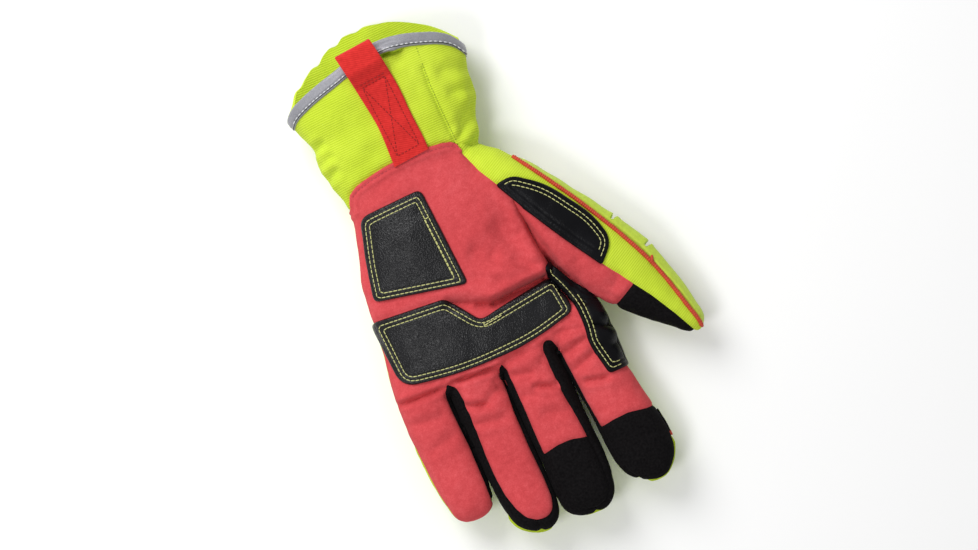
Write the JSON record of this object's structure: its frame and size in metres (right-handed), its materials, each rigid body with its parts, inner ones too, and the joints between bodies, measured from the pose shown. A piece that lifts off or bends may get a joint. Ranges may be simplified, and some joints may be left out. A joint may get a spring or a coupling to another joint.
{
  "type": "insulated work glove",
  "caption": "Left-hand insulated work glove lying palm up, with padded cloth walls, leather palm patches, thumb guard, reflective cuff binding and a webbing pull tab.",
  "frame": {"origin": "On the surface the glove lies on, under the middle of its bounding box; the flat back of the hand rests there.", "axes": "+Z out of the palm, -Y along the fingers, +Y out of the cuff, +X to the thumb's side"},
  "size_m": [0.1703, 0.288, 0.0528],
  "materials": {
    "coral_knit": "matte brushed knit, coral red",
    "lime_knit": "fine ribbed knit, fluorescent lime",
    "black_suede": "matte black microsuede",
    "black_leather": "pebbled black leather with a soft sheen and cream double stitching",
    "reflective_tape": "grey woven reflective tape",
    "red_webbing": "woven bright red webbing",
    "lime_rubber": "moulded satin lime rubber",
    "red_rubber": "satin orange red edging"
  },
  "bodies": {
    "root": {"palm_panel": "coral_knit", "thumb_palm": "coral_knit", "middle_tip": "black_suede", "index_tip": "black_suede", "thumb_tip": "black_suede", "fourchette_pinky_ring": "black_suede", "fourchette_ring_middle": "black_suede", "fourchette_middle_index": "black_suede", "back_panel": "lime_knit", "thumb_back": "lime_knit", "cuff_palm": "lime_knit", "cuff_back": "lime_knit", "cuff_binding": "reflective_tape", "heel_patch": "black_leather", "palm_patch": "black_leather", "index_patch": "black_leather", "thumb_patch": "black_leather", "thumb_guard": "lime_rubber", "thumb_piping": "red_rubber", "thumb_piping_back": "red_rubber", "pinky_guard": "lime_rubber", "ring_guard": "lime_rubber", "middle_guard": "lime_rubber", "index_guard": "lime_rubber", "pull_tab": "red_webbing"}
  },
  "joints": []
}
